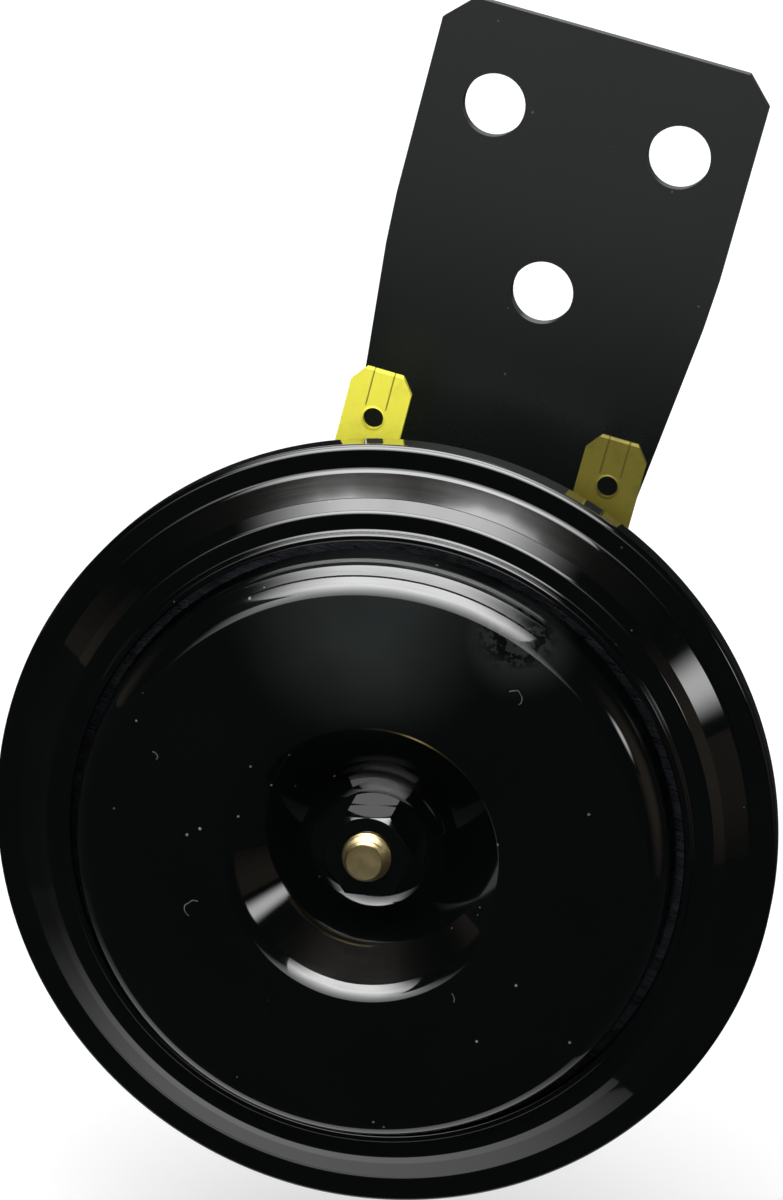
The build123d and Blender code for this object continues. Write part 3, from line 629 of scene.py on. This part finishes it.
def turned(name, front_y, path, thickness, finish, back_from=0, sides=320):
    """Spin a sheet: the walked side, a cut edge, the far side and the first edge, all closed."""
    back = [(r - thickness * math.cos(a), h - thickness * math.sin(a), a + math.pi)
            for r, h, a in path[back_from:]][::-1]
    loop = [*path, *back]
    cut = math.atan2(back[0][1] - path[-1][1], back[0][0] - path[-1][0]) + math.pi / 2
    closing = math.atan2(path[0][1] - back[-1][1], path[0][0] - back[-1][0]) + math.pi / 2
    corners, faces, facings = [], [], []
    for r, h, _ in loop:
        for side_index in range(sides):
            spin = math.tau * side_index / sides
            corners.append((r * MM * math.sin(spin), front_y - h * MM, HORN_Z + r * MM * math.cos(spin)))
    for index, (_, _, angle) in enumerate(loop):
        following = (index + 1) % len(loop)
        ends = (angle, loop[following][2])
        if index == len(path) - 1:
            ends = (cut, cut)
        elif following == 0 and back_from == 0:
            ends = (closing, closing)
        for side_index in range(sides):
            beside = (side_index + 1) % sides
            faces.append((index * sides + side_index, index * sides + beside, following * sides + beside,
                          following * sides + side_index))
            for where, way in ((side_index, ends[0]), (beside, ends[0]), (beside, ends[1]),
                               (side_index, ends[1])):
                spin = math.tau * where / sides
                outwards = math.cos(way)
                facings.append((outwards * math.sin(spin), -math.sin(way), outwards * math.cos(spin)))
    mesh = bpy.data.meshes.new(name)
    mesh.from_pydata(corners, [], faces)
    mesh.update()
    mesh.shade_smooth()
    mesh.normals_split_custom_set(facings)
    mesh.materials.append(finish)
    print(name, len(mesh.polygons), "faces")
    return linked(name, mesh)


FLANGE_Y = -19 * MM           # front of the flange; heights in a profile are counted from here
SHEET = 0.8                   # mm, as in the solids
LIP_R = 31.9
ring_path = rounded([(LIP_R - SHEET, 3.5), (LIP_R - SHEET, 4.05), (LIP_R, 4.05), (LIP_R, 3.0), (33.85, 3.0),
                     (35.0, 1.9), (37.5, 0.0), (40.0, 0.0), (40.0, -3.75), (36.6, -3.75)],
                    [0.25, 0.25, 0.3, 0.6, 1.0, 1.0, 0.6, 0.6])
lip_start = next(index for index, point in enumerate(ring_path) if point[0] > LIP_R - 0.01)
ring = turned("finished_cover", FLANGE_Y, ring_path, SHEET, rim_enamel, back_from=lip_start)
dish_path = rounded([(2.6, 2.8), (6.7, 2.8), (14.2, 9.7), (29.65, 9.3), (30.3, 3.6)], [4.2, 3.4, 3.5])
dish = turned("finished_disc", FLANGE_Y, dish_path, SHEET, disc_enamel)

# %% [markdown]
# ## Screw threads with Geometry Nodes
# A thread is a rule: the radius of a bar rises and falls once per turn while the crest climbs by
# one pitch. So a flat grid is made with one side along the bar and the other round it, and every
# point is put on its radius. The tree's inputs are the bar's sizes, and one tree makes the front
# stud and the rear stud; with no depth it makes their plain parts. The first and the last two rows
# close the ends.

# %% Threaded bar tree
def threaded_bar_tree():
    tree = bpy.data.node_groups.new("threaded_bar", "GeometryNodeTree")
    for label, value in (("Length", 12 * MM), ("Radius", 2.5 * MM), ("Pitch", 0.8 * MM),
                         ("Depth", 0.0), ("Chamfer", 0.0), ("Lead", 1.0 * MM), ("Plain", 0.0),
                         ("Rows", 180), ("Sides", 64)):
        kind = "NodeSocketInt" if isinstance(value, int) else FLOAT
        tree.interface.new_socket(label, in_out="INPUT", socket_type=kind).default_value = value
    tree.interface.new_socket("Finish", in_out="INPUT", socket_type="NodeSocketMaterial")
    tree.interface.new_socket("Geometry", in_out="OUTPUT", socket_type="NodeSocketGeometry")
    given = tree.nodes.new("NodeGroupInput").outputs
    grid = node(tree, "GeometryNodeMeshGrid", {"Size X": 1.0, "Size Y": 1.0})
    place_of = tree.nodes.new("GeometryNodeInputPosition").outputs[0]
    split = node(tree, "ShaderNodeSeparateXYZ")
    join((given["Rows"], grid.inputs["Vertices X"]), (given["Sides"], grid.inputs["Vertices Y"]),
         (place_of, split.inputs[0]))
    share_along = plus(split.outputs["X"], 0.5)
    spin = times(plus(split.outputs["Y"], 0.5), math.tau)
    rows = less(given["Rows"], 1.0)
    index = math_node("ROUND", times(share_along, rows))
    share = math_node("DIVIDE", less(index, 2.0), less(rows, 4.0), clamp=True)
    travel = times(share, given["Length"])
    phase = less(math_node("DIVIDE", travel, given["Pitch"]), math_node("DIVIDE", spin, math.tau))
    tooth = math_node("PINGPONG", phase, 0.5)
    flank = node(tree, "ShaderNodeMapRange", {"From Min": 0.06, "From Max": 0.42}, clamp=True)
    join((tooth, flank.inputs["Value"]))
    threaded = math_node("GREATER_THAN", travel, given["Plain"])
    cut = times(times(flank.outputs[0], given["Depth"]), threaded)
    to_end = less(given["Length"], travel)
    cut = times(cut, math_node("DIVIDE", to_end, 0.5 * MM, clamp=True))
    inset = less(1.0, math_node("DIVIDE", to_end, given["Lead"], clamp=True))
    bevel = times(inset, given["Chamfer"])
    reach = less(less(given["Radius"], bevel), cut)
    first = math_node("GREATER_THAN", index, 0.5)
    last = math_node("LESS_THAN", index, less(rows, 0.5))
    reach = times(times(reach, first), last)
    seat = node(tree, "ShaderNodeCombineXYZ")
    join((times(reach, math_node("SINE", spin)), seat.inputs["X"]), (travel, seat.inputs["Y"]),
         (times(reach, math_node("COSINE", spin)), seat.inputs["Z"]))
    bent = tree.nodes.new("GeometryNodeSetPosition")
    merged = node(tree, "GeometryNodeMergeByDistance", {"Distance": MERGE})
    whole = tree.nodes.new("GeometryNodeRealizeInstances")
    painted = tree.nodes.new("GeometryNodeSetMaterial")
    leaving = tree.nodes.new("NodeGroupOutput").inputs
    join((grid.outputs["Mesh"], bent.inputs["Geometry"]), (seat.outputs[0], bent.inputs["Position"]),
         (bent.outputs[0], merged.inputs["Geometry"]), (merged.outputs[0], whole.inputs[0]),
         (whole.outputs[0], painted.inputs["Geometry"]), (given["Finish"], painted.inputs["Material"]),
         (painted.outputs[0], leaving["Geometry"]))
    return tree


bar_tree = threaded_bar_tree()
print("threaded bar tree:", len(bar_tree.nodes), "nodes")

# %% [markdown]
# ## From a tree to a plain mesh
# A node tree lives in a modifier. Its inputs are set by the sockets' identifiers before Blender
# first works the object out. The result is copied to a plain mesh, because a finished piece must
# carry its shape itself, and the mesh is turned and shifted to its place on the horn. Then its
# doubled points are merged and its faces turned outwards.

# %% Make a piece from a tree
SHARP_ABOVE = math.radians(32)


def worked_out(maker):
    """A plain mesh of what an object's modifiers make of it."""
    bpy.context.view_layer.update()
    return bpy.data.meshes.new_from_object(maker.evaluated_get(bpy.context.evaluated_depsgraph_get()))


def grown(name, tree, place_matrix, **inputs):
    maker = linked(name + "_maker", bpy.data.meshes.new(name + "_seed"))
    rule = maker.modifiers.new("rule", "NODES")
    rule.node_group = tree
    sockets = {item.name: item.identifier for item in tree.interface.items_tree
               if item.item_type == "SOCKET" and item.in_out == "INPUT"}
    for label, value in inputs.items():
        rule[sockets[label.replace("_", " ")]] = value
    mesh = worked_out(maker)
    bpy.data.objects.remove(maker)
    mesh.transform(place_matrix)
    mesh.name = name
    shape = bmesh.new()
    shape.from_mesh(mesh)
    bmesh.ops.remove_doubles(shape, verts=shape.verts, dist=MERGE)
    bmesh.ops.recalc_face_normals(shape, faces=shape.faces)
    shape.to_mesh(mesh)
    shape.free()
    mesh.shade_smooth()
    mesh.set_sharp_from_angle(angle=SHARP_ABOVE)
    print(name, len(mesh.polygons), "faces")
    return linked(name, mesh)


STUD_R, STUD_PITCH, HEAD_R, HEAD_T = 2.5 * MM, 0.8 * MM, 4.0 * MM, 1.2 * MM
low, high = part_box("armature_stud")
towards_front = Matrix.Translation((0, high.y, HORN_Z)) @ Matrix.Rotation(math.pi, 4, "X")
stud = grown("front_stud", bar_tree, towards_front, Length=high.y - low.y, Radius=STUD_R, Pitch=STUD_PITCH,
             Depth=0.34 * MM, Chamfer=0.72 * MM, Lead=1.5 * MM, Plain=HEAD_T, Rows=340, Sides=72,
             Finish=yellow_zinc)
head = grown("stud_head", bar_tree, towards_front, Length=HEAD_T, Radius=HEAD_R, Rows=8, Sides=72,
             Finish=yellow_zinc)

# %% [markdown]
# ## Edges that catch the light
# A nut never has a perfectly sharp edge: a rounding of a tenth of a millimetre draws the bright
# line that outlines it. A Bevel modifier, limited to the sharp edges, rounds a copy of the solid,
# and the copy is kept as a plain mesh.

# %% Rounded copies
def softened(name, solid, width, steps=3, above=24):
    """width in mm; edges that bend by more than above degrees are rounded."""
    copy = linked(name, solids[solid].data.copy())
    shape = bmesh.new()
    shape.from_mesh(copy.data)
    bmesh.ops.remove_doubles(shape, verts=shape.verts, dist=MERGE / 2)
    bmesh.ops.dissolve_limit(shape, angle_limit=math.radians(1.0), verts=shape.verts, edges=shape.edges)
    shape.to_mesh(copy.data)
    shape.free()
    rule = copy.modifiers.new("rounding", "BEVEL")
    rule.width, rule.segments = width * MM, steps
    rule.limit_method, rule.angle_limit = "ANGLE", math.radians(above)
    rule.harden_normals = True
    mesh = worked_out(copy)
    copy.modifiers.clear()
    copy.data = mesh
    mesh.name = name
    print(name, len(mesh.polygons), "faces")
    return copy


nut = softened("finished_nut", "front_nut", 0.10)
rear_nut = softened("finished_rear_nut", "bracket_nut", 0.12)
lock_nut = softened("finished_lock_nut", "adjusting_lock_nut", 0.08)

# %% [markdown]
# ## The rear stud
# The pole piece and the stud behind it are one turned part, so a plain bar and a threaded bar are
# made here and joined later.

# %% Rear stud
REAR_R, REAR_PITCH, CORE_R = 4.0 * MM, 1.25 * MM, 6.5 * MM
low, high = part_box("core_stud")
core_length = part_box("coil_bobbin")[1].y - low.y
towards_back = Matrix.Translation((0, low.y, HORN_Z))
rear_stud = grown("rear_stud", bar_tree, towards_back, Length=high.y - low.y, Radius=REAR_R,
                  Pitch=REAR_PITCH, Depth=0.55 * MM, Chamfer=0.8 * MM, Lead=0.9 * MM,
                  Plain=core_length + 1 * MM, Rows=300, Sides=80, Finish=grey_zinc)
core = grown("core", bar_tree, towards_back, Length=core_length, Radius=CORE_R, Rows=10, Sides=80,
             Finish=grey_zinc)

# %% [markdown]
# ## The studio
# A pale floor under the horn and soft light from everywhere make a plain background, but gloss
# black only shows what it mirrors. As in any studio, big soft boxes give the white bands and black
# flags keep the rest of the enamel black. The flags and the bright box fronts are seen only in
# reflections, so matt things are lit at a plain level.

# %% Floor
def sheet_object(name, corners, faces):
    mesh = bpy.data.meshes.new(name)
    mesh.from_pydata(corners, [], faces)
    return linked(name, mesh)


def rectangle(left, right, near_y, far_y, z):
    return [(left, near_y, z), (right, near_y, z), (right, far_y, z), (left, far_y, z)], [(0, 1, 2, 3)]


def seen(tree):
    """1 for rays from the camera, in mirrors and through glass; 0 for the light that surfaces get."""
    rays = tree.nodes.new("ShaderNodeLightPath").outputs
    both = math_node("MAXIMUM", rays["Is Camera Ray"], rays["Is Glossy Ray"])
    return math_node("MAXIMUM", both, rays["Is Transmission Ray"])


FLOOR_Z = cad_box[0][2] - 25 * MM
FLOOR_GLOW = 0.34
floor = sheet_object("pale_floor", *rectangle(-4, 4, -4, 4, FLOOR_Z))
floor_finish, tree, shader, points = begin("pale_floor", Roughness=0.8, Specular_IOR_Level=0.0,
                                           Emission_Color=(1, 1, 1, 1))
cloud = node(tree, "ShaderNodeTexNoise", {"Scale": 3.0})
spread(points, cloud)
tone = blend_colours(cloud.outputs[0], (0.80, 0.80, 0.80), (0.84, 0.84, 0.84))
join((tone, shader.inputs["Base Color"]),
     (times(seen(tree), FLOOR_GLOW), shader.inputs["Emission Strength"]))
floor.data.materials.append(floor_finish)
print("floor at", round(FLOOR_Z / MM, 1), "mm")

# %% [markdown]
# ## The room
# The world lights everything evenly, and is brighter where it is looked at, so that the background
# comes out white.

# %% World
ROOM_LIGHT, ROOM_MORE_SEEN = 0.5, 0.45
world = bpy.data.worlds.new("soft_room")
bpy.context.scene.world = world
world.use_nodes = True
tree = world.node_tree
room = tree.nodes["Background"]
room.inputs["Color"].default_value = (1, 1, 1, 1)
join((times_plus(seen(tree), ROOM_MORE_SEEN, ROOM_LIGHT), room.inputs["Strength"]))

# %% [markdown]
# ## Flags
# Black sheets placed by the direction in which the enamel sees them. Directions are given from the
# horn: how far they lean from its front, and how far they turn clockwise in the picture.

# %% Flags
HORN = Vector((0, -20 * MM, HORN_Z))
FRONT = Vector((0, -1, 0))
PICTURE_UP = Vector((-0.264, 0, 0.9645))
PICTURE_RIGHT = Vector((0.9645, 0, 0.264))


def sideways(turn_right):
    """The way across the horn's axis, turned clockwise from the top of the picture."""
    swing = math.radians(turn_right)
    return PICTURE_UP * math.cos(swing) + PICTURE_RIGHT * math.sin(swing)


def leaning(tilt, turn_right):
    """The way that leans tilt degrees from the horn's front, towards sideways(turn_right)."""
    lean = math.radians(tilt)
    return FRONT * math.cos(lean) + sideways(turn_right) * math.sin(lean)


def grid_sheet(corner_at, steps=12):
    """A sheet whose corners are corner_at(share up, share across)."""
    in_row = steps + 1
    corners = [corner_at(row / steps, column / steps) for row in range(in_row) for column in range(in_row)]
    starts = [row * in_row + column for row in range(steps) for column in range(steps)]
    return corners, [(start, start + 1, start + in_row + 1, start + in_row) for start in starts]


def reflected_only(made):
    made.visible_camera = made.visible_diffuse = made.visible_shadow = made.visible_transmission = False


def flag(name, corners, faces):
    made = sheet_object(name, corners, faces)
    black, tree, shader, points = begin(name, Roughness=1.0, Specular_IOR_Level=0.0)
    felt = node(tree, "ShaderNodeTexNoise", {"Scale": 200.0})
    spread(points, felt)
    tone = blend_colours(felt.outputs[0], (0.012, 0.013, 0.013), (0.016, 0.017, 0.017))
    join((tone, shader.inputs["Base Color"]))
    made.data.materials.append(black)
    reflected_only(made)


def patch(lows, highs, turns, distance, steps=12):
    """A sheet on a sphere. Lows and highs give the tilt from the front, as one number or as three:
    at the first, the middle and the last turn. Turns run clockwise from the top of the picture."""
    def between(tilts, share):
        first, middle, last = (tilts,) * 3 if isinstance(tilts, (int, float)) else tilts
        if share < 0.5:
            return first + (middle - first) * share * 2
        return middle + (last - middle) * (share * 2 - 1)

    def corner_at(up_share, share):
        low, high = between(lows, share), between(highs, share)
        turn_right = turns[0] + (turns[1] - turns[0]) * share
        return HORN + leaning(low + (high - low) * up_share, turn_right) * distance

    return grid_sheet(corner_at, steps)


flag("front_flag", *patch(0, 78, (0, 360), 1.6, steps=32))
for name, low, high, turns in (("ceiling_flag", 108, 128, (-70, 70)), ("right_flag", 70, 170, (40, 135)),
                               ("left_flag", 70, 170, (225, 320))):
    flag(name, *patch(low, high, turns, 1.1))
flag("table_flag", *rectangle(-1.5, 1.5, -1.6, 1.5, FLOOR_Z + 1 * MM))
print("flags placed")

# %% [markdown]
# ## Windows
# Bright sheets that only reflections show: a tall window with a glazing bar across it, a smaller
# one at the right, the brown walls of a room and a lit table. A ramp makes the window fade towards
# its foot, soft ends let it fade to the sides, and clouds keep it from being even.

# %% Windows
def along(points, direction):
    made = node(points.id_data, "ShaderNodeVectorMath", {1: direction}, operation="DOT_PRODUCT")
    join((points, made.inputs[0]))
    return made.outputs["Value"]


def strip(heights, asides, distance):
    """A sheet between two heights above the horn's axis and two angles to the side."""
    def corner_at(up_share, share):
        aside = math.radians(asides[0] + (asides[1] - asides[0]) * share)
        level = leaning(heights[0] + (heights[1] - heights[0]) * up_share, 0)
        return HORN + (level * math.cos(aside) + PICTURE_RIGHT * math.sin(aside)) * distance

    return grid_sheet(corner_at)


def window(name, shape, glow, ramp=(0, 90), power=1.0, sides=None, spot=None, distance=0.8,
           colour=(1, 1, 1)):
    """glow: brightness at the lower and the upper end of ramp, two heights in degrees above the
    horn's axis. sides: where the middle is across the picture, and how far from it the glow is full
    and gone. spot: tilt and turn of a round glow, and its full and dark radius. Lengths in sides and
    spot are parts of distance."""
    made = sheet_object(name, *shape)
    finish, tree, shader, points = begin(name, Roughness=1.0, Base_Color=(0, 0, 0, 1),
                                         Emission_Color=(*colour, 1))
    from_horn = node(tree, "ShaderNodeVectorMath", {1: HORN}, operation="SUBTRACT")
    sky = node(tree, "ShaderNodeTexNoise", {"Scale": 9.0})
    spread(points, sky)
    join((points, from_horn.inputs[0]))
    way = from_horn.outputs[0]
    height = math_node("ARCTAN2", along(way, PICTURE_UP), along(way, FRONT))
    first, last = ramp
    climb = less(height, math.radians(first))
    climb = math_node("DIVIDE", climb, math.radians(last - first), clamp=True)
    strength = times_plus(math_node("POWER", climb, power), glow[1] - glow[0], glow[0])
    if sides:
        middle, full, dark = (value * distance for value in sides)
        aside = math_node("ABSOLUTE", less(along(way, PICTURE_RIGHT), middle))
        strength = times(strength, step_down(aside, full, dark))
    if spot:
        off = node(tree, "ShaderNodeVectorMath", {1: leaning(*spot[:2]) * distance}, operation="DISTANCE")
        join((way, off.inputs[0]))
        strength = times(strength, step_down(off.outputs["Value"], spot[2] * distance, spot[3] * distance))
    cloudy = times_plus(sky.outputs[0], 0.3, 0.85)
    join((times(strength, cloudy), shader.inputs["Emission Strength"]))
    made.data.materials.append(finish)
    reflected_only(made)


WIDE = (0.0, 0.20, 0.62)
BAR = (71.5, 65.0, 63.6)      # tilts of the glazing bar at its left end, its middle and its right end
BROWN = (1.0, 0.82, 0.62)
dusk = {"glow": (1.0, 7.0), "ramp": (-5, 34), "power": 2.2}
window("window_foot", strip((4, 22), (-34, 24), 0.85), sides=(-0.10, 0.15, 0.45), distance=0.85, **dusk)
window("low_window", patch(14, [t - 3.2 for t in BAR], (-42, 40), 0.8), sides=WIDE, **dusk)
window("window_bar", patch([t - 3.4 for t in BAR], [t + 3.4 for t in BAR], (-60, 60), 0.82),
       (0.06, 0.06), colour=BROWN, distance=0.82, sides=(0.0, 0.3, 0.8))
window("high_window", patch([t + 3.2 for t in BAR], 107, (-42, 40), 0.8), (5.2, 5.2), sides=WIDE)
window("side_window", patch(58, 73, (64, 85), 0.8), (3.6, 3.6), spot=(65.5, 74.5, 0.02, 0.13))
window("left_room", patch(60, 120, (232, 312), 0.9), (0.09, 0.09), colour=BROWN, spot=(90, 272, 0.1, 0.52),
       distance=0.9)
window("right_room", patch(50, 120, (44, 128), 0.9), (0.11, 0.11), colour=BROWN, spot=(85, 86, 0.1, 0.56),
       distance=0.9)
window("lit_table", rectangle(-85 * MM, 70 * MM, -24 * MM, 60 * MM, FLOOR_Z + 2 * MM), (0.45, 0.45),
       sides=(-0.012, 0.025, 0.10))

# %% [markdown]
# ## Daylight
# One wide, soft sun from high in front gives matt things their shape. It is left out of
# reflections, where the windows already stand for it.

# %% Daylight
SUN_TILT = 50                 # degrees from the horn's front to the top of the picture
daylight = bpy.data.lights.new("daylight", "SUN")
daylight.energy = 2.0
daylight.angle = math.radians(35)
lamp = linked("daylight", daylight)
towards = leaning(SUN_TILT, 0)
tangent = leaning(SUN_TILT + 90, 0)
turn = Matrix((tangent.cross(towards), tangent, towards)).transposed().to_4x4()
lamp.matrix_world = Matrix.Translation(HORN + towards) @ turn
lamp.visible_camera = lamp.visible_glossy = False

# %% [markdown]
# ## Fastening the pieces
# Each new piece must ride on the CAD body that carries it, and the solid that a piece stands for is
# hidden. A stud's plain part is joined to it first. The front stud and its nut swing with the
# disc.

# %% Ride
for piece, part in ((stud, head), (rear_stud, core)):
    whole = bmesh.new()
    whole.from_mesh(piece.data)
    whole.from_mesh(part.data)
    whole.to_mesh(piece.data)
    whole.free()
    bpy.data.objects.remove(part)
for piece, body, solid, slot in ((nut, "vibrating_group", "front_nut", "black_enamel"),
                                 (rear_nut, "horn_body", "bracket_nut", "grey_zinc"),
                                 (lock_nut, "horn_body", "adjusting_lock_nut", "grey_zinc"),
                                 (rear_stud, "horn_body", "core_stud", "grey_zinc"),
                                 (stud, "vibrating_group", "armature_stud", "yellow_zinc"),
                                 (ring, "horn_body", "front_cover", "black_enamel"),
                                 (dish, "vibrating_group", "sound_disc", "black_enamel")):
    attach(piece, body)
    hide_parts(solid)
